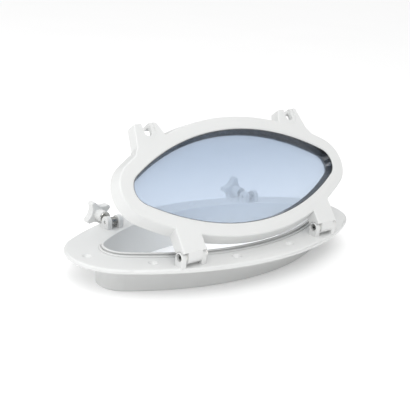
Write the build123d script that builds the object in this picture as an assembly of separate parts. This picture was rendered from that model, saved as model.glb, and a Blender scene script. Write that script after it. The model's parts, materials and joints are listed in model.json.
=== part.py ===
from build123d import *
from math import atan, atan2, cos, degrees, hypot, radians, sin, sqrt
import os

# Oval opening hatch: a flanged base with a spigot, a glazed lid on two hinges,
# and two swing bolts with hand knobs. Millimetres, +Z up.
# The origin is midway between the two end screw holes, on the underside of the flange.
# +X runs along the oval, and +Y runs from the hinges to the swing bolts.

# Ovals, each as (half length, half width, end radius)
FLANGE_OVAL = (220.0, 114.0, 70.0)
OPENING_OVAL = (172.4, 70.8, 24.5)
SPIGOT_FOOT_OVAL = (181.0, 72.6, 31.0)
LID_BACK_OVAL = (187.0, 83.6, 42.0)
LID_WINDOW_OVAL = (164.6, 62.4, 21.5)

# Base heights and depths
FLANGE_THICK = 5.2
FLANGE_EDGE = 3.0
FLANGE_FOOT_EDGE = 0.8
RIM_TOP = 9.6
LIP_WIDTH = 3.0
LIP_EDGE = 0.9
LIP_THICK = 1.4
LIP_UNDERCUT = 1.0
RIM_GROOVE_WIDTH = 1.1
STEP_WIDTH = 2.2
STEP_TOP = 6.8
FOOT_GUTTER_WIDTH = 0.8
FOOT_GUTTER_DEPTH = 0.4
SPIGOT_DEPTH = 37.8
SPIGOT_DRAFT = 2.4
SPIGOT_EDGE = 1.5
OPENING_DRAFT = 2.0

# Fixing holes, countersunk from above
HOLE_RADIUS = 2.75
SINK_RADIUS = 6.0
END_HOLE_X = 200.5
HOLE_PAIRS = ((146.0, -56.0), (45.0, -88.5), (98.0, 88.0), (33.0, 96.0))

# Hinges
HINGE_X = 111.6
HINGE_Y = -82.4
HINGE_Z = 16.8
HINGE_WIDTH = 36.6
HINGE_EAR_THICK = 7.0
HINGE_EAR_DEPTH = 13.0
EAR_ROOT_Z = 1.6
EAR_EDGE = 0.8
HINGE_PIN_RADIUS = 2.5
HINGE_HEAD_RADIUS = 3.5
HINGE_HEAD_HEIGHT = 2.6
HINGE_HEAD_EDGE = 1.0
HINGE_SOCKET_RADIUS = 1.8
HINGE_SOCKET_DEPTH = 1.6
HINGE_SINK_RADIUS = 4.9
HINGE_SINK_DEPTH = 4.6
HINGE_SCREW_END = 5.4
HINGE_SCREW_CHAMFER = 0.6
NUT_RADIUS = 4.6
NUT_THICK = 3.2
NUT_COLLAR_RADIUS = 3.7
NUT_COLLAR_THICK = 1.2
WASHER_THICK = 0.8
WASHER_RADIUS = 6.2
KNUCKLE_RADIUS = 8.8
KNUCKLE_GAP = 0.3
SHOULDER_RADIUS = 7.3
LUG_FRONT = 1.0
LUG_WIDTH = 34.0
LUG_EDGE = 1.4
LUG_ROOT_Y = 40.0
NOSE_TURN = radians(128.0)
BUSH_RADIUS = 3.6
PIN_CLEARANCE = 0.05
LID_OPEN_ANGLE = 52.0

# Lid, described closed, then turned about the hinges to its open place
LID_SHIFT_Y = 1.4
LID_BACK_Z = 12.3
LID_FACE_Z = 28.0
LID_DRAFT = 4.4
LID_EDGE = 2.0
WINDOW_EDGE = 1.0
GLASS_TOP_Z = 17.2
GLASS_THICK = 5.0
GLASS_PLAY = 1.0
GASKET_TOP_Z = 26.4
GASKET_LIP = 3.8
GASKET_TOP_THICK = 1.0
GASKET_EDGE = 2.0
GLASS_REBATE = 2.5
RETAINER_TOP_Z = 11.8
RETAINER_THICK = 2.0
RETAINER_OUT = 5.6
RETAINER_IN = -2.6
RETAINER_SCREW_OUT = 3.9
RETAINER_SCREWS = 14
RETAINER_SCREW_RADIUS = 1.0
RETAINER_HEAD_RADIUS = 1.6
RETAINER_HEAD_HEIGHT = 0.8
RETAINER_SCREW_LENGTH = 8.0
SEAL_OUT = 2.3
SEAL_WIDTH = 2.6
SEAL_EDGE = 1.1
SEAL_CLEARANCE = 0.3
SEAL_CHANNEL_DEPTH = 3.0

# Fork lugs on the lid
FORK_X = 118.0
SLOT_WIDTH = 11.0
SLOT_BOTTOM_Y = 66.4
FORK_TIP_Y = 83.0
FORK_TIP_ROUND = 2.6
FORK_ROOT_ROUND = 7.0
FORK_EDGE = 1.3
SPOT_RADIUS = 11.0
SPOT_DEPTH = 1.0
FORK_POCKET_TOP_Z = 22.2
FORK_POCKET_GAP = 1.3

# Swing bolts
SWING_Y = 70.0
SWING_Z = 13.1
CLEVIS_WIDTH = 24.0
CLEVIS_GAP = 10.0
CLEVIS_RADIUS = 7.6
SWING_PIN_RADIUS = 2.5
SWING_PIN_INSET = 1.2
SWING_PIN_CHAMFER = 0.3
EYE_RADIUS = 5.6
EYE_WIDTH = 8.4
EYE_EDGE = 0.8
BOLT_CHAMFER = 0.6
BOLT_RADIUS = 3.0
BOLT_LENGTH = 34.0
KNOB_WASHER_RADIUS = 7.2
KNOB_WASHER_THICK = 1.4
KNOB_WASHER_REACH = 16.4
KNOB_WASHER_CHAMFER = 0.3
KNOB_GAP = 0.3
KNOB_HUB_RADIUS = 7.6
KNOB_HUB_LENGTH = 13.2
KNOB_STAR_THICK = 12.0
KNOB_TIP_RADIUS = 19.0
KNOB_LOBE_RADIUS = 3.4
KNOB_WAIST_RADIUS = 11.0
KNOB_BACK_EDGE = 1.0
KNOB_FACE_EDGE = 2.2
KNOB_END_ROOM = 3.4
KNOB_BORE_GAP = 0.4
INSERT_RADIUS = 4.6
INSERT_LENGTH = 15.0
LEFT_KNOB_TURN = 61.0
RIGHT_KNOB_TURN = 8.0

# Tools longer than the wall that they cut
BEYOND = 2.0

SIDES = (("left", -1), ("right", 1))


# ---------------------------------------------------------------- helpers

def oval(shape, grow=0.0, z=0.0, shift_y=0.0):
    """A flat four-arc oval, offset outward by grow, at height z."""
    length, width, end = (value + grow for value in shape)
    side = ((length - end) ** 2 + width ** 2 - end ** 2) / (2 * (width - end))
    turn = atan2(side - width, length - end)
    x = length - end + end * cos(turn)
    y = end * sin(turn)
    arcs = [
        ThreePointArc((x, -y), (length, 0), (x, y)),
        ThreePointArc((x, y), (0, width), (-x, y)),
        ThreePointArc((-x, y), (-length, 0), (-x, -y)),
        ThreePointArc((-x, -y), (0, -width), (x, -y)),
    ]
    return Pos(0, shift_y, z) * make_face(arcs)


def prism(face, height):
    return extrude(face, amount=height, dir=(0, 0, 1))


def widening(face, height, growth):
    """A prism that grows outward by growth over its height."""
    return extrude(face, amount=height, taper=-degrees(atan(growth / height)))


def narrowing(face, height, shrink):
    return extrude(face, amount=height, taper=degrees(atan(shrink / height)))


def edges_at(solid, z):
    return solid.edges().filter_by_position(Axis.Z, z - 0.01, z + 0.01)


def rod_x(radius, length, x, y, z):
    """A round bar along X, centred on the point."""
    return Pos(x, y, z) * Rot(0, 90, 0) * Cylinder(radius, length)


def opened(part):
    """Turn a lid piece from closed to its open place."""
    return Pos(0, HINGE_Y, HINGE_Z) * Rot(LID_OPEN_ANGLE, 0, 0) * Pos(0, -HINGE_Y, -HINGE_Z) * part


def save(name, *solids):
    """Write one node. Several solids stay separate inside it."""
    shape = solids[0] if len(solids) == 1 else Compound(children=list(solids))
    export_step(shape, "parts/" + name + ".step")


# ---------------------------------------------------------------- base

def ear(thick, radius, x, y, z):
    """An upright ear with a round top about the point (x, y, z)."""
    leg = Pos(x, y, (EAR_ROOT_Z + z) / 2) * Box(thick, 2 * radius, z - EAR_ROOT_Z)
    blank = leg + rod_x(radius, thick, x, y, z)
    return fillet(blank.edges().filter_by(GeomType.CIRCLE), EAR_EDGE)


def hinge_ears(x):
    reach = (HINGE_WIDTH - HINGE_EAR_THICK) / 2
    ears = Part()
    for side in (-1, 1):
        ears += ear(HINGE_EAR_THICK, HINGE_EAR_DEPTH / 2, x + side * reach, HINGE_Y, HINGE_Z)
    ears -= rod_x(HINGE_PIN_RADIUS, HINGE_WIDTH + BEYOND, x, HINGE_Y, HINGE_Z)
    sink_x = x - HINGE_WIDTH / 2 + HINGE_SINK_DEPTH / 2
    return ears - rod_x(HINGE_SINK_RADIUS, HINGE_SINK_DEPTH, sink_x, HINGE_Y, HINGE_Z)


def clevis_ears(x):
    thick = (CLEVIS_WIDTH - CLEVIS_GAP) / 2
    reach = (CLEVIS_WIDTH - thick) / 2
    ears = Part()
    for side in (-1, 1):
        ears += ear(thick, CLEVIS_RADIUS, x + side * reach, SWING_Y, SWING_Z)
    return ears - rod_x(SWING_PIN_RADIUS, CLEVIS_WIDTH + BEYOND, x, SWING_Y, SWING_Z)


def fixing_hole(x, y):
    through = Pos(x, y, FLANGE_THICK / 2) * Cylinder(HOLE_RADIUS, FLANGE_THICK + BEYOND)
    sink_depth = SINK_RADIUS - HOLE_RADIUS
    sink = Pos(x, y, FLANGE_THICK - sink_depth / 2) * Cone(HOLE_RADIUS, SINK_RADIUS, sink_depth)
    return through + sink


def hole_places():
    pairs = ((END_HOLE_X, 0.0),) + HOLE_PAIRS
    return [(side * x, y) for x, y in pairs for _, side in SIDES]


def opening_band(inner, width, z, height):
    """A ring around the opening, from the offset inner and of the given width."""
    face = oval(OPENING_OVAL, inner + width, z) - oval(OPENING_OVAL, inner, z)
    return prism(face, height)


def make_rim():
    """The raised rim: a lip that the seal lands on, a groove under it, and a lower step outside."""
    step_out = LIP_WIDTH + RIM_GROOVE_WIDTH + STEP_WIDTH
    low = FLANGE_THICK - 1
    lip = prism(oval(OPENING_OVAL, LIP_WIDTH, low), RIM_TOP - low)
    lip = fillet(edges_at(lip, RIM_TOP), LIP_EDGE)
    step = prism(oval(OPENING_OVAL, step_out, low), STEP_TOP - low)
    step = fillet(edges_at(step, STEP_TOP), STEP_WIDTH / 2)
    groove_in = LIP_WIDTH - LIP_UNDERCUT
    groove_width = LIP_UNDERCUT + RIM_GROOVE_WIDTH
    groove_height = RIM_TOP - LIP_THICK - FLANGE_THICK
    return step + lip - opening_band(groove_in, groove_width, FLANGE_THICK, groove_height)


def make_base_frame():
    flange = prism(oval(FLANGE_OVAL), FLANGE_THICK)
    flange = fillet(edges_at(flange, FLANGE_THICK), FLANGE_EDGE)
    flange = fillet(edges_at(flange, 0), FLANGE_FOOT_EDGE)
    gutter_in = LIP_WIDTH + RIM_GROOVE_WIDTH + STEP_WIDTH
    flange -= opening_band(gutter_in, FOOT_GUTTER_WIDTH, FLANGE_THICK - FOOT_GUTTER_DEPTH, BEYOND)

    spigot = widening(oval(SPIGOT_FOOT_OVAL, 0, -SPIGOT_DEPTH), SPIGOT_DEPTH + 1, SPIGOT_DRAFT)
    spigot = fillet(edges_at(spigot, -SPIGOT_DEPTH), SPIGOT_EDGE)

    bore_height = RIM_TOP + SPIGOT_DEPTH
    bore = widening(oval(OPENING_OVAL, -OPENING_DRAFT, -SPIGOT_DEPTH), bore_height, OPENING_DRAFT)
    body = flange + make_rim() + spigot - bore
    body = fillet(bore_mouth_edges(body), LIP_EDGE)

    for _, side in SIDES:
        body += hinge_ears(side * HINGE_X)
        body += clevis_ears(side * FORK_X)
    for x, y in hole_places():
        body -= fixing_hole(x, y)
    return body


def bore_mouth_edges(body):
    """The edges of the bore's mouth, at the top of the lip."""
    lip_top = body.faces().filter_by_position(Axis.Z, RIM_TOP - 0.01, RIM_TOP + 0.01)[0]
    return lip_top.inner_wires()[0].edges()


def hinge_screw(x):
    """Socket head screw that is the hinge's pin, its head sunk in the left ear."""
    seat_x = x - HINGE_WIDTH / 2 + HINGE_SINK_DEPTH
    head = rod_x(HINGE_HEAD_RADIUS, HINGE_HEAD_HEIGHT, seat_x - HINGE_HEAD_HEIGHT / 2, HINGE_Y, HINGE_Z)
    head = fillet(head.edges().sort_by(Axis.X)[0], HINGE_HEAD_EDGE)
    socket = Pos(seat_x - HINGE_HEAD_HEIGHT, HINGE_Y, HINGE_Z) * Rot(0, 90, 0)
    socket *= RegularPolygon(HINGE_SOCKET_RADIUS, 6)
    head -= extrude(socket, amount=HINGE_SOCKET_DEPTH, dir=(1, 0, 0))
    end = x + HINGE_WIDTH / 2 + HINGE_SCREW_END
    shank = rod_x(HINGE_PIN_RADIUS, end - seat_x, (seat_x + end) / 2, HINGE_Y, HINGE_Z)
    shank = chamfer(shank.edges().sort_by(Axis.X)[-1], HINGE_SCREW_CHAMFER)
    return head + shank


def hinge_nut(x):
    """Locking nut on the far end of the hinge screw."""
    seat_x = x + HINGE_WIDTH / 2
    hexagon = Pos(seat_x, HINGE_Y, HINGE_Z) * Rot(0, 90, 0) * RegularPolygon(NUT_RADIUS, 6)
    nut = extrude(hexagon, amount=NUT_THICK, dir=(1, 0, 0))
    collar_x = seat_x + NUT_THICK + NUT_COLLAR_THICK / 2
    collar = rod_x(NUT_COLLAR_RADIUS, NUT_COLLAR_THICK, collar_x, HINGE_Y, HINGE_Z)
    bore = rod_x(HINGE_PIN_RADIUS, 2 * HINGE_WIDTH, seat_x, HINGE_Y, HINGE_Z)
    return nut + collar - bore


def hinge_washers(x):
    inner = HINGE_WIDTH / 2 - HINGE_EAR_THICK
    washers = []
    for side in (-1, 1):
        at = x + side * (inner - WASHER_THICK / 2)
        disc = rod_x(WASHER_RADIUS, WASHER_THICK, at, HINGE_Y, HINGE_Z)
        washers.append(disc - rod_x(HINGE_PIN_RADIUS, WASHER_THICK + BEYOND, at, HINGE_Y, HINGE_Z))
    return washers


def swing_pin(x):
    pin = rod_x(SWING_PIN_RADIUS, CLEVIS_WIDTH - 2 * SWING_PIN_INSET, x, SWING_Y, SWING_Z)
    return chamfer(pin.edges().filter_by(GeomType.CIRCLE), SWING_PIN_CHAMFER)


# ---------------------------------------------------------------- lid

def lid_oval(grow, z):
    return oval(LID_WINDOW_OVAL, grow, z, LID_SHIFT_Y)


def lid_band(outer, inner, z, height):
    """A straight-sided ring between two offsets of the window oval."""
    return prism(lid_oval(outer, z) - lid_oval(inner, z), height)


def fork_lug(side):
    """The lug that a swing bolt drops into, before its slot is cut."""
    roots = [(93.6, 63.0), (146.0, 46.0)]
    tips = [(102.4, FORK_TIP_Y), (134.6, FORK_TIP_Y)]
    inner_end = [(100.5, 40.0), (86.0, 60.0)]
    outer_end = [(150.0, 30.0)]
    outline = inner_end + roots[:1] + tips + [(140.4, 54.0)] + roots[1:] + outer_end
    corners = [(side * x, y, LID_BACK_Z) for x, y in outline]
    face = make_face(Polyline(*corners, close=True))
    face = fillet(vertices_near(face, side, tips), FORK_TIP_ROUND)
    face = fillet(vertices_near(face, side, roots), FORK_ROOT_ROUND)
    lug = prism(face, LID_FACE_Z - LID_BACK_Z)
    return fillet(edges_at(lug, LID_FACE_Z), FORK_EDGE)


def vertices_near(face, side, places):
    found = []
    for x, y in places:
        found.append(face.vertices().sort_by_distance((side * x, y, LID_BACK_Z))[0])
    return found


def fork_cuts(side):
    """The slot, its spot face, and the hollow that fits over the clevis."""
    x = side * FORK_X
    height = LID_FACE_Z - LID_BACK_Z + 2 * BEYOND
    open_length = FORK_TIP_Y - SLOT_BOTTOM_Y
    centre_y = SLOT_BOTTOM_Y + SLOT_WIDTH / 2
    middle_z = (LID_BACK_Z + LID_FACE_Z) / 2
    slot = Pos(x, centre_y, middle_z) * Cylinder(SLOT_WIDTH / 2, height)
    slot += Pos(x, centre_y + open_length / 2, middle_z) * Box(SLOT_WIDTH, open_length, height)
    spot = Pos(x, centre_y, LID_FACE_Z) * Cylinder(SPOT_RADIUS, 2 * SPOT_DEPTH)
    spot_box = Box(2 * SPOT_RADIUS, open_length, 2 * SPOT_DEPTH)
    spot += Pos(x, centre_y + open_length / 2, LID_FACE_Z) * spot_box
    pocket_height = FORK_POCKET_TOP_Z - LID_BACK_Z + 1
    pocket = Pos(x, SWING_Y, FORK_POCKET_TOP_Z - pocket_height / 2)
    pocket *= Box(CLEVIS_WIDTH + 2 * FORK_POCKET_GAP, 2 * (CLEVIS_RADIUS + FORK_POCKET_GAP), pocket_height)
    return slot + spot + pocket


def side_profile(points, x, width):
    """A solid of the given width along X, from an outline in (Y, Z) from the hinge's axis."""
    corners = [(x - width / 2, HINGE_Y + y, HINGE_Z + z) for y, z in points]
    return extrude(make_face(Polyline(*corners, close=True)), amount=width, dir=(1, 0, 0))


def hinge_lug(side):
    """The arm from the ring to the knuckle, shouldered above the hinge ears."""
    x = side * HINGE_X
    knuckle_width = HINGE_WIDTH - 2 * (HINGE_EAR_THICK + WASHER_THICK + KNUCKLE_GAP)
    face = LID_FACE_Z - HINGE_Z
    back = LID_BACK_Z - HINGE_Z
    outline = [(LUG_FRONT, face), (LUG_ROOT_Y, face), (LUG_ROOT_Y, back), (LUG_FRONT, back)]
    arm = side_profile(outline, x, LUG_WIDTH)
    arm = fillet(arm.edges().filter_by(Axis.Y).group_by(Axis.Z)[-1], LUG_EDGE)
    arm -= rod_x(SHOULDER_RADIUS, LUG_WIDTH + BEYOND, x, HINGE_Y, HINGE_Z)
    leg_room = [(0, 0), (SHOULDER_RADIUS, 0), (SHOULDER_RADIUS, back - 1), (0, back - 1)]
    arm -= side_profile(leg_room, x, LUG_WIDTH + BEYOND)
    nose = (KNUCKLE_RADIUS * cos(NOSE_TURN), KNUCKLE_RADIUS * sin(NOSE_TURN))
    neck_end = SHOULDER_RADIUS + 1
    neck_outline = [(0, 0), nose, (LUG_FRONT, face), (neck_end, face), (neck_end, back)]
    neck = side_profile(neck_outline, x, knuckle_width)
    knuckle = rod_x(KNUCKLE_RADIUS, knuckle_width, x, HINGE_Y, HINGE_Z)
    bore = rod_x(BUSH_RADIUS, knuckle_width + BEYOND, x, HINGE_Y, HINGE_Z)
    return arm + neck + knuckle - bore


def retainer_screw_places():
    edge = lid_oval(RETAINER_SCREW_OUT, 0).face().outer_wire()
    return [edge @ ((index + 0.5) / RETAINER_SCREWS) for index in range(RETAINER_SCREWS)]


def make_lid_frame():
    height = LID_FACE_Z - LID_BACK_Z
    ring = narrowing(oval(LID_BACK_OVAL, 0, LID_BACK_Z, LID_SHIFT_Y), height, LID_DRAFT)
    ring = fillet(edges_at(ring, LID_FACE_Z), LID_EDGE)
    for _, side in SIDES:
        ring += fork_lug(side)
        ring += hinge_lug(side)
    window = prism(lid_oval(0, LID_BACK_Z - 1), height + BEYOND)
    window_edge = widening(lid_oval(0, LID_FACE_Z - WINDOW_EDGE), WINDOW_EDGE, WINDOW_EDGE)
    rebate = prism(lid_oval(GLASS_REBATE, LID_BACK_Z - 1), GLASS_TOP_Z + GASKET_EDGE - LID_BACK_Z + 1)
    seal_in = SEAL_OUT - SEAL_WIDTH / 2
    seal_channel = opening_band(seal_in, SEAL_WIDTH, LID_BACK_Z - 1, SEAL_CHANNEL_DEPTH + 1)
    ring = ring - window - window_edge - rebate - seal_channel
    for _, side in SIDES:
        ring -= fork_cuts(side)
    for point in retainer_screw_places():
        screw_hole = Cylinder(RETAINER_SCREW_RADIUS, 2 * RETAINER_SCREW_LENGTH)
        ring -= Pos(point.X, point.Y, LID_BACK_Z) * screw_hole
    return ring


def make_glass():
    return prism(lid_oval(GLASS_REBATE - GLASS_PLAY, GLASS_TOP_Z - GLASS_THICK), GLASS_THICK)


def make_gasket():
    """A rubber channel round the pane's edge, with a tall lip up the window's wall."""
    lip_base = GLASS_TOP_Z + GASKET_EDGE
    channel = lid_band(GLASS_REBATE, -GASKET_LIP, RETAINER_TOP_Z, lip_base - RETAINER_TOP_Z)
    lip = prism(lid_oval(0, lip_base), GASKET_TOP_Z - lip_base)
    lip_rise = GASKET_TOP_Z - GLASS_TOP_Z
    lip_inner = widening(lid_oval(-GASKET_LIP, GLASS_TOP_Z), lip_rise, GASKET_LIP - GASKET_TOP_THICK)
    under = prism(lid_oval(-GASKET_LIP, RETAINER_TOP_Z - 1), GLASS_TOP_Z - RETAINER_TOP_Z + 1)
    return channel + lip - lip_inner - under - make_glass()


def make_retainer():
    ring = lid_band(RETAINER_OUT, RETAINER_IN, RETAINER_TOP_Z - RETAINER_THICK, RETAINER_THICK)
    ring += lid_band(RETAINER_OUT, GLASS_REBATE + 0.1, RETAINER_TOP_Z, LID_BACK_Z - RETAINER_TOP_Z)
    for point in retainer_screw_places():
        ring -= retainer_screw(point)
    return ring


def retainer_screw(point):
    """Countersunk screw up into the lid frame."""
    low = RETAINER_TOP_Z - RETAINER_THICK
    head = Pos(point.X, point.Y, low + RETAINER_HEAD_HEIGHT / 2)
    head *= Cone(RETAINER_HEAD_RADIUS, RETAINER_SCREW_RADIUS, RETAINER_HEAD_HEIGHT)
    shank = Pos(point.X, point.Y, low + RETAINER_SCREW_LENGTH / 2)
    shank *= Cylinder(RETAINER_SCREW_RADIUS, RETAINER_SCREW_LENGTH)
    return head + shank


def make_seal():
    low = RIM_TOP + SEAL_CLEARANCE
    height = LID_BACK_Z + SEAL_CHANNEL_DEPTH - low
    seal = opening_band(SEAL_OUT - SEAL_WIDTH / 2, SEAL_WIDTH, low, height)
    return fillet(edges_at(seal, low), SEAL_EDGE)


def hinge_bush(x):
    width = HINGE_WIDTH - 2 * (HINGE_EAR_THICK + WASHER_THICK + KNUCKLE_GAP)
    sleeve = rod_x(BUSH_RADIUS, width, x, HINGE_Y, HINGE_Z)
    return sleeve - rod_x(HINGE_PIN_RADIUS + PIN_CLEARANCE, width + BEYOND, x, HINGE_Y, HINGE_Z)


# ---------------------------------------------------------------- swing bolts

def along_bolt(x, part):
    """Place a piece made along +Z from the pivot so that it lies along +Y."""
    return Pos(x, SWING_Y, SWING_Z) * Rot(-90, 0, 0) * part


def swing_bolt(x):
    eye = Rot(0, 90, 0) * Cylinder(EYE_RADIUS, EYE_WIDTH)
    eye = chamfer(eye.edges().filter_by(GeomType.CIRCLE), EYE_EDGE)
    eye -= Rot(0, 90, 0) * Cylinder(SWING_PIN_RADIUS + PIN_CLEARANCE, EYE_WIDTH + BEYOND)
    shank_start = SWING_PIN_RADIUS + 1
    shank_length = BOLT_LENGTH - shank_start
    shank = Pos(0, 0, shank_start + shank_length / 2) * Cylinder(BOLT_RADIUS, shank_length)
    shank = chamfer(shank.edges().filter_by(GeomType.CIRCLE).sort_by(Axis.Z)[-1], BOLT_CHAMFER)
    return along_bolt(x, eye + shank)


def disc_up(radius, low, height):
    """A round bar along the bolt, from the height low."""
    return Pos(0, 0, low + height / 2) * Cylinder(radius, height)


def knob_washer(x):
    disc = disc_up(KNOB_WASHER_RADIUS, KNOB_WASHER_REACH, KNOB_WASHER_THICK)
    disc = chamfer(disc.edges().filter_by(GeomType.CIRCLE), KNOB_WASHER_CHAMFER)
    return along_bolt(x, disc - disc_up(BOLT_RADIUS + PIN_CLEARANCE, 0, BOLT_LENGTH))


def star_face(z):
    """Four rounded tips joined by hollow sides, as arcs that meet smoothly."""
    tip_centre = KNOB_TIP_RADIUS - KNOB_LOBE_RADIUS
    rise = KNOB_WAIST_RADIUS - KNOB_LOBE_RADIUS
    hollow_centre = (tip_centre ** 2 - rise ** 2) / (2 * (tip_centre - sqrt(2) * rise))
    reach = hypot(hollow_centre - tip_centre, hollow_centre)
    join_x = tip_centre + KNOB_LOBE_RADIUS * (hollow_centre - tip_centre) / reach
    join_y = KNOB_LOBE_RADIUS * hollow_centre / reach
    waist = KNOB_WAIST_RADIUS / sqrt(2)
    tip = ThreePointArc((join_x, -join_y), (KNOB_TIP_RADIUS, 0), (join_x, join_y))
    hollow = ThreePointArc((join_x, join_y), (waist, waist), (join_y, join_x))
    arcs = [Rot(0, 0, 90 * index) * arc for index in range(4) for arc in (tip, hollow)]
    return Pos(0, 0, z) * make_face(arcs)


def knob(x, turn):
    start = KNOB_WASHER_REACH + KNOB_WASHER_THICK + KNOB_GAP
    star_z = start + KNOB_HUB_LENGTH
    star = extrude(star_face(star_z), amount=KNOB_STAR_THICK, dir=(0, 0, 1))
    star = fillet(edges_at(star, star_z + KNOB_STAR_THICK), KNOB_FACE_EDGE)
    star = fillet(edges_at(star, star_z), KNOB_BACK_EDGE)
    body = disc_up(KNOB_HUB_RADIUS, start, KNOB_HUB_LENGTH) + star
    body -= disc_up(INSERT_RADIUS, start, INSERT_LENGTH)
    body -= disc_up(BOLT_RADIUS + KNOB_BORE_GAP, start, BOLT_LENGTH + KNOB_END_ROOM - start)
    return along_bolt(x, Rot(0, 0, turn) * body)


def knob_insert(x):
    start = KNOB_WASHER_REACH + KNOB_WASHER_THICK + KNOB_GAP
    sleeve = disc_up(INSERT_RADIUS, start, INSERT_LENGTH)
    return along_bolt(x, sleeve - disc_up(BOLT_RADIUS + PIN_CLEARANCE, 0, 2 * BOLT_LENGTH))


# ---------------------------------------------------------------- write the nodes

os.makedirs("parts", exist_ok=True)

save("base_frame", make_base_frame())
save("lid_frame", opened(make_lid_frame()))
save("glass", opened(make_glass()))
save("glazing_gasket", opened(make_gasket()))
save("glass_retainer", opened(make_retainer()))
save("retainer_screws", *[opened(retainer_screw(point)) for point in retainer_screw_places()])
save("lid_seal", opened(make_seal()))

KNOB_TURNS = {"left": LEFT_KNOB_TURN, "right": RIGHT_KNOB_TURN}
for name, side in SIDES:
    save("hinge_screw_" + name, hinge_screw(side * HINGE_X))
    save("hinge_nut_" + name, hinge_nut(side * HINGE_X))
    save("hinge_washers_" + name, *hinge_washers(side * HINGE_X))
    save("hinge_bush_" + name, hinge_bush(side * HINGE_X))
    save("swing_pin_" + name, swing_pin(side * FORK_X))
    save("swing_bolt_" + name, swing_bolt(side * FORK_X))
    save("knob_washer_" + name, knob_washer(side * FORK_X))
    save("knob_" + name, knob(side * FORK_X, KNOB_TURNS[name]))
    save("knob_insert_" + name, knob_insert(side * FORK_X))
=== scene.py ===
import json
import math

import bmesh
import bpy
from mathutils import Matrix, Vector


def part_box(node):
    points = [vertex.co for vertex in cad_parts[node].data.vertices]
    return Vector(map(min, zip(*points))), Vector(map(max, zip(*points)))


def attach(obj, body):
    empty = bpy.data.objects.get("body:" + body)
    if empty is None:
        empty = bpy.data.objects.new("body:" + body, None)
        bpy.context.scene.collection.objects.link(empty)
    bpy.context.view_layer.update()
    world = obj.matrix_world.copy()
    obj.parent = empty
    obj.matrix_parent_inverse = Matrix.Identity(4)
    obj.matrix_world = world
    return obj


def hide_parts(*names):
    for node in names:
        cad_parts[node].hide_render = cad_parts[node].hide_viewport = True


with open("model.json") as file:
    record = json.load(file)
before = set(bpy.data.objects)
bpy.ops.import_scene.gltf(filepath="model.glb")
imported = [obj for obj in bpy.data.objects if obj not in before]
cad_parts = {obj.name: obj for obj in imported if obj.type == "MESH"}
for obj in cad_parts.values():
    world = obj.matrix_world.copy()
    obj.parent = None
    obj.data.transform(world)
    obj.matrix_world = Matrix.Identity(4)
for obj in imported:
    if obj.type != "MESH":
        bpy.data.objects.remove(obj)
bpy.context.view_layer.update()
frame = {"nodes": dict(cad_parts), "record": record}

# Camera: place and reach in metres, angles in degrees, lens and sensor in millimetres
CAMERA_PLACE = Vector((-0.7102, -0.7869, 0.3694))
CAMERA_AZIMUTH = -41.07
CAMERA_ELEVATION = 17.45
CAMERA_ROLL = 4.26
CAMERA_LENS = 75.0
CAMERA_SENSOR = 36.0
CAMERA_REACH = 50.0

# Studio: the surround is at its zenith brightness from SKY_FULL_AT up, as the height of a unit direction.
# Each softbox is (name, place, size, power in watts).
SKY_HORIZON = 0.10
SKY_ZENITH = 1.20
SKY_FULL_AT = 0.9
SOFTBOXES = [
    ("softbox_left_back", (-1.7, 0.8, 0.9), (1.0, 1.0), 9.0),
    ("softbox_front_left", (-0.9, -1.2, 1.5), (1.2, 1.2), 16.5),
]
FLOOR_GLOW = 0.085
FLOOR_HALF_WIDTH = 20.0

# Linear base colours, most as a pair that a soft noise blends
WHITE = (0.69, 0.697, 0.692), (0.678, 0.685, 0.68)
RUBBER = (0.010, 0.011, 0.014), (0.018, 0.020, 0.024)
NYLON = (0.78, 0.78, 0.73), (0.70, 0.70, 0.65)
FLOOR = (0.94, 0.94, 0.94), (0.95, 0.95, 0.95)
# The pane's tint at its low and high ends: the change between them is a painted reflection, lighter low
# on the pane
GLASS_TINT_LOW_PAINTED_LIGHTER = (0.63, 0.71, 0.815)
GLASS_TINT_HIGH_PAINTED_DARKER = (0.43, 0.513, 0.63)
STEEL = (0.72, 0.72, 0.70)
# The swing bolts' darker steel is painted shade: it stands in for the shadow of the slots that hold them
BOLT_STEEL_PAINTED_SHADE = (0.34, 0.34, 0.33)
# The hinge screws' darker steel is painted shade: it stands in for the shadow in their recesses
SCREW_STEEL_PAINTED_SHADE = (0.22, 0.22, 0.215)
BRASS = (0.70, 0.50, 0.22)
METAL_SHADE = 0.86

# Roughness: the range that a noise moves in, or one value
PLASTIC_GLOSS = (0.30, 0.40)
GLASS_HAZE = (0.0, 0.002)
RUBBER_GLOSS = (0.06, 0.12)
STEEL_GLOSS = (0.12, 0.22)
BOLT_GLOSS = (0.22, 0.34)
SCREW_GLOSS = (0.08, 0.14)
BRASS_GLOSS = (0.22, 0.36)
NYLON_ROUGHNESS = 0.5
FLOOR_ROUGHNESS = 0.9

# Refraction, and how much of the light goes through the glass
PLASTIC_IOR = 1.5
GLASS_IOR = 1.45
GLASS_CLEARNESS = 0.75
RUBBER_IOR = 2.1

# Threaded swing bolt, in metres, with an M6 crest radius. THREAD_START is counted from the pin.
THREAD_PITCH = 0.001
THREAD_DEPTH = 0.00055
THREAD_START = 0.0065
THREAD_CREST = 0.003
THREAD_CHAMFER = 0.0006
EYE_BORE_GAP = 0.00005
EYE_CHAMFER = 0.0008

# How finely the swing bolt is divided, and the angle from which its edges look sharp
THREAD_SEGMENTS = 32
ROWS_PER_PITCH = 8
EYE_SEGMENTS = 64
SHARP_EDGE = math.radians(35)

NODES = frame["nodes"]
SIDES = ("left", "right")


# ---------------------------------------------------------------- node helpers

def new_material(name):
    """An empty node material with a Principled shader, and its node tree."""
    material = bpy.data.materials.new(name)
    material.use_nodes = True
    tree = material.node_tree
    shader = tree.nodes["Principled BSDF"]
    return material, tree, shader


def add_node(tree, kind, **values):
    """A node with some of its properties or input sockets set."""
    node = tree.nodes.new(kind)
    for key, value in values.items():
        if key in node.inputs:
            node.inputs[key].default_value = value
        else:
            setattr(node, key, value)
    return node


def object_coordinates(tree):
    """Coordinates that stay on the part when it moves."""
    return add_node(tree, "ShaderNodeTexCoord").outputs["Object"]


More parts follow.
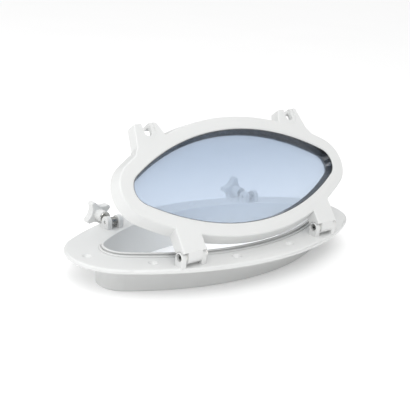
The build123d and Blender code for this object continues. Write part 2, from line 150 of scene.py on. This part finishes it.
def noise(tree, scale, detail=4.0):
    """A noise in the object's own space; scale is in features per metre."""
    texture = add_node(tree, "ShaderNodeTexNoise", Scale=scale, Detail=detail)
    tree.links.new(object_coordinates(tree), texture.inputs["Vector"])
    return texture.outputs["Fac"]


def spread(tree, source, low, high, start=0.3, stop=0.7):
    """The source's start to stop, mapped onto low to high."""
    node = add_node(tree, "ShaderNodeMapRange")
    node.inputs["From Min"].default_value = start
    node.inputs["From Max"].default_value = stop
    node.inputs["To Min"].default_value = low
    node.inputs["To Max"].default_value = high
    tree.links.new(source, node.inputs["Value"])
    return node.outputs["Result"]


def two_colours(tree, source, first, second, start=0.35, stop=0.65):
    """The first colour up to start, the second from stop, and a blend between."""
    ramp = add_node(tree, "ShaderNodeValToRGB")
    ramp.color_ramp.elements[0].position = start
    ramp.color_ramp.elements[0].color = (*first, 1)
    ramp.color_ramp.elements[1].position = stop
    ramp.color_ramp.elements[1].color = (*second, 1)
    tree.links.new(source, ramp.inputs["Fac"])
    return ramp.outputs["Color"]


def bump(tree, height, distance, strength, under=None):
    """A surface normal from a height up to distance metres, over another normal if one is given."""
    node = add_node(tree, "ShaderNodeBump", Distance=distance, Strength=strength)
    tree.links.new(height, node.inputs["Height"])
    if under is not None:
        tree.links.new(under, node.inputs["Normal"])
    return node.outputs["Normal"]


# ---------------------------------------------------------------- materials

def moulded_plastic(name):
    """Semi-gloss white plastic: fine spark texture, faint flow marks, slight gloss changes."""
    material, tree, shader = new_material(name)
    tint = two_colours(tree, noise(tree, scale=9.0, detail=3.0), *WHITE)
    tree.links.new(tint, shader.inputs["Base Color"])
    gloss = spread(tree, noise(tree, scale=35.0, detail=5.0), *PLASTIC_GLOSS)
    tree.links.new(gloss, shader.inputs["Roughness"])
    fine = noise(tree, scale=1600.0, detail=2.0)
    grain = bump(tree, fine, distance=0.00002, strength=0.35)
    coarse = noise(tree, scale=28.0, detail=1.0)
    waves = bump(tree, coarse, distance=0.0004, strength=0.12, under=grain)
    tree.links.new(waves, shader.inputs["Normal"])
    shader.inputs["IOR"].default_value = PLASTIC_IOR
    return material


def tinted_glass():
    """Blue-grey pane with a slight haze, and a painted reflection that makes it lighter towards the
    hinges.
    """
    material, tree, shader = new_material("tinted_glass")
    low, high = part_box("glass")
    parts = add_node(tree, "ShaderNodeSeparateXYZ")
    tree.links.new(object_coordinates(tree), parts.inputs["Vector"])
    # Painted reflection: the tint runs from lighter low on the pane to darker high up
    height = spread(tree, parts.outputs["Z"], low=0.0, high=1.0, start=low.z, stop=high.z)
    tint = two_colours(tree, height, GLASS_TINT_LOW_PAINTED_LIGHTER, GLASS_TINT_HIGH_PAINTED_DARKER, start=0.1, stop=0.8)
    tree.links.new(tint, shader.inputs["Base Color"])
    shader.inputs["Transmission Weight"].default_value = GLASS_CLEARNESS
    shader.inputs["IOR"].default_value = GLASS_IOR
    haze = spread(tree, noise(tree, scale=14.0, detail=6.0), *GLASS_HAZE)
    tree.links.new(haze, shader.inputs["Roughness"])
    return material


def black_rubber():
    """Smooth black rubber with a shiny skin."""
    material, tree, shader = new_material("black_rubber")
    tint = two_colours(tree, noise(tree, scale=40.0), *RUBBER)
    tree.links.new(tint, shader.inputs["Base Color"])
    shader.inputs["IOR"].default_value = RUBBER_IOR
    gloss = spread(tree, noise(tree, scale=60.0, detail=5.0), *RUBBER_GLOSS)
    tree.links.new(gloss, shader.inputs["Roughness"])
    skin = bump(tree, noise(tree, scale=900.0, detail=3.0), distance=0.00003, strength=0.4)
    tree.links.new(skin, shader.inputs["Normal"])
    return material


def polished_metal(name, colour, gloss_range):
    """Polished metal with a fine grain and slight changes of gloss."""
    material, tree, shader = new_material(name)
    shader.inputs["Metallic"].default_value = 1.0
    shade = tuple(METAL_SHADE * value for value in colour)
    tint = two_colours(tree, noise(tree, scale=120.0), colour, shade)
    tree.links.new(tint, shader.inputs["Base Color"])
    gloss = spread(tree, noise(tree, scale=400.0, detail=6.0), *gloss_range)
    tree.links.new(gloss, shader.inputs["Roughness"])
    grain = bump(tree, noise(tree, scale=2500.0, detail=2.0), distance=0.00001, strength=0.3)
    tree.links.new(grain, shader.inputs["Normal"])
    return material


def nylon():
    """Natural nylon of the bushes and friction washers, slightly yellow."""
    material, tree, shader = new_material("nylon")
    tint = two_colours(tree, noise(tree, scale=80.0), *NYLON)
    tree.links.new(tint, shader.inputs["Base Color"])
    shader.inputs["Roughness"].default_value = NYLON_ROUGHNESS
    skin = bump(tree, noise(tree, scale=900.0), distance=0.00003, strength=0.4)
    tree.links.new(skin, shader.inputs["Normal"])
    return material


def floor_material():
    """The white studio floor, with a little light of its own."""
    material, tree, shader = new_material("floor")
    tint = two_colours(tree, noise(tree, scale=3.0), *FLOOR)
    tree.links.new(tint, shader.inputs["Base Color"])
    shader.inputs["Roughness"].default_value = FLOOR_ROUGHNESS
    shader.inputs["Emission Color"].default_value = (1, 1, 1, 1)
    shader.inputs["Emission Strength"].default_value = FLOOR_GLOW
    return material


def paint_nodes():
    """Gives every CAD node its material, by the record's slots, and the hinge screws a darker steel as
    painted shade of their recesses.
    """
    paints = {
        "white_plastic": moulded_plastic("white_plastic"),
        "knob_plastic": moulded_plastic("knob_plastic"),
        "tinted_glass": tinted_glass(),
        "black_rubber": black_rubber(),
        "stainless_steel": polished_metal("stainless_steel", STEEL, STEEL_GLOSS),
        "brass": polished_metal("brass", BRASS, BRASS_GLOSS),
        "nylon": nylon(),
    }
    for part in frame["record"]["subparts"]:
        node = NODES[part["node"]]
        node.data.materials.clear()
        node.data.materials.append(paints[part["material_slot"]])
    # Painted shade: a darker steel on the hinge screws stands in for the shadow in their recesses
    screw_steel_painted_shade = polished_metal("screw_steel_painted_shade", SCREW_STEEL_PAINTED_SHADE, SCREW_GLOSS)
    for side in SIDES:
        NODES["hinge_screw_" + side].data.materials[0] = screw_steel_painted_shade
    NODES["glass"].visible_shadow = False


# ---------------------------------------------------------------- scene

def make_camera():
    """The camera at its solved place, looking along its azimuth and elevation, then rolled."""
    azimuth = math.radians(CAMERA_AZIMUTH)
    elevation = math.radians(CAMERA_ELEVATION)
    roll = math.radians(CAMERA_ROLL)
    flat = math.cos(elevation)
    back = Vector((math.sin(azimuth) * flat, -math.cos(azimuth) * flat, math.sin(elevation)))
    right = Vector((math.cos(azimuth), math.sin(azimuth), 0))
    up = back.cross(right)
    side = right * math.cos(roll) + up * math.sin(roll)
    top = up * math.cos(roll) - right * math.sin(roll)
    data = bpy.data.cameras.new("camera")
    data.lens = CAMERA_LENS
    data.sensor_width = CAMERA_SENSOR
    data.clip_end = CAMERA_REACH
    camera = bpy.data.objects.new("camera", data)
    turn = Matrix((side, top, back)).transposed().to_4x4()
    camera.matrix_world = Matrix.Translation(CAMERA_PLACE) @ turn
    bpy.context.scene.collection.objects.link(camera)
    bpy.context.scene.camera = camera


def make_floor(height):
    """A square floor at a height, which is stage and not part of the object."""
    half = FLOOR_HALF_WIDTH
    mesh = bpy.data.meshes.new("floor")
    signs = [(-1, -1), (1, -1), (1, 1), (-1, 1)]
    corners = [(half * x, half * y, height) for x, y in signs]
    mesh.from_pydata(corners, [], [(0, 1, 2, 3)])
    floor = bpy.data.objects.new("floor", mesh)
    floor.data.materials.append(floor_material())
    bpy.context.scene.collection.objects.link(floor)


def make_sky():
    """A plain studio surround that brightens smoothly from the horizon to overhead."""
    world = bpy.data.worlds.new("studio")
    world.use_nodes = True
    tree = world.node_tree
    direction = tree.nodes.new("ShaderNodeTexCoord").outputs["Generated"]
    parts = tree.nodes.new("ShaderNodeSeparateXYZ")
    tree.links.new(direction, parts.inputs["Vector"])
    level = tree.nodes.new("ShaderNodeMapRange")
    level.interpolation_type = "SMOOTHSTEP"
    level.inputs["From Min"].default_value = 0.0
    level.inputs["From Max"].default_value = SKY_FULL_AT
    level.inputs["To Min"].default_value = SKY_HORIZON
    level.inputs["To Max"].default_value = SKY_ZENITH
    tree.links.new(parts.outputs["Z"], level.inputs["Value"])
    background = tree.nodes["Background"]
    background.inputs["Color"].default_value = (1, 1, 1, 1)
    tree.links.new(level.outputs["Result"], background.inputs["Strength"])
    bpy.context.scene.world = world


def add_softbox(name, place, size, power):
    """A rectangular light that faces the origin."""
    data = bpy.data.lights.new(name, "AREA")
    data.shape = "RECTANGLE"
    data.size, data.size_y = size
    data.energy = power
    light = bpy.data.objects.new(name, data)
    light.location = place
    light.rotation_euler = (-Vector(place)).to_track_quat("-Z", "Y").to_euler()
    bpy.context.scene.collection.objects.link(light)


def make_light():
    """Surround, softboxes and a plain view transform."""
    make_sky()
    for softbox in SOFTBOXES:
        add_softbox(*softbox)
    view = bpy.context.scene.view_settings
    view.view_transform = "Standard"
    view.look = "None"


# ---------------------------------------------------------------- threaded swing bolts

def thread_radius(along, turn, reach):
    """The shank's radius at a distance from the pivot and a part of a turn round it."""
    place = (along / THREAD_PITCH - turn) % 1.0
    groove = 1.0 - abs(2.0 * place - 1.0)
    fade = min(1.0, max(0.0, (along - THREAD_START) / THREAD_PITCH))
    end_taper = max(0.0, THREAD_CHAMFER - (reach - along))
    return THREAD_CREST - max(THREAD_DEPTH * groove * fade, end_taper)


def join_rings(mesh, rings, closed):
    """Quads between rings of vertices that follow each other, and from last to first if closed."""
    pairs = list(zip(rings, rings[1:]))
    if closed:
        pairs.append((rings[-1], rings[0]))
    for first, second in pairs:
        count = len(first)
        for index in range(count):
            after = (index + 1) % count
            mesh.faces.new((first[index], first[after], second[after], second[index]))


def add_shank(mesh, pivot, start, reach):
    """The threaded shank along +Y, from inside the eye to its chamfered tip."""
    rows = round((reach - start) / THREAD_PITCH * ROWS_PER_PITCH)
    rings = []
    for row in range(rows + 1):
        along = start + (reach - start) * row / rows
        ring = []
        for index in range(THREAD_SEGMENTS):
            turn = index / THREAD_SEGMENTS
            radius = thread_radius(along, turn, reach)
            angle = math.tau * turn
            offset = Vector((radius * math.cos(angle), along, radius * math.sin(angle)))
            ring.append(mesh.verts.new(pivot + offset))
        rings.append(ring)
    join_rings(mesh, rings, closed=False)
    mesh.faces.new(rings[0])
    mesh.faces.new(rings[-1])


def add_eye(mesh, pivot, half_width, bore, outer):
    """The eye round the pin, which lies along X."""
    shoulder = half_width - EYE_CHAMFER
    side = [(half_width, bore), (half_width, outer - EYE_CHAMFER), (shoulder, outer)]
    profile = side + [(-x, radius) for x, radius in reversed(side)]
    rings = []
    for index in range(EYE_SEGMENTS):
        angle = math.tau * index / EYE_SEGMENTS
        flat = Vector((0, math.cos(angle), math.sin(angle)))
        places = [pivot + flat * radius + Vector((x, 0, 0)) for x, radius in profile]
        rings.append([mesh.verts.new(place) for place in places])
    join_rings(mesh, rings, closed=True)


def make_swing_bolt(side, material):
    """The eye bolt with its thread cut, in the place of the plain one."""
    node = "swing_bolt_" + side
    low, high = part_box(node)
    pin_low, pin_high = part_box("swing_pin_" + side)
    pivot = (pin_low + pin_high) / 2
    pin_radius = (pin_high.z - pin_low.z) / 2
    eye_radius = pivot.y - low.y
    mesh = bmesh.new()
    add_eye(mesh, pivot, (high.x - low.x) / 2, pin_radius + EYE_BORE_GAP, eye_radius)
    add_shank(mesh, pivot, (pin_radius + eye_radius) / 2, high.y - pivot.y)
    bmesh.ops.recalc_face_normals(mesh, faces=mesh.faces)
    data = bpy.data.meshes.new("threaded_bolt_" + side)
    mesh.to_mesh(data)
    mesh.free()
    data.shade_smooth()
    data.set_sharp_from_angle(angle=SHARP_EDGE)
    bolt = bpy.data.objects.new("threaded_bolt_" + side, data)
    bolt.data.materials.append(material)
    bpy.context.scene.collection.objects.link(bolt)
    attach(bolt, "bolt_" + side)
    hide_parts(node)


make_camera()
make_floor(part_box("base_frame")[0].z)
make_light()
paint_nodes()
# Painted shade: a darker steel on the swing bolts stands in for the shadow in their slots
bolt_steel_painted_shade = polished_metal("bolt_steel_painted_shade", BOLT_STEEL_PAINTED_SHADE, BOLT_GLOSS)
for side in SIDES:
    make_swing_bolt(side, bolt_steel_painted_shade)
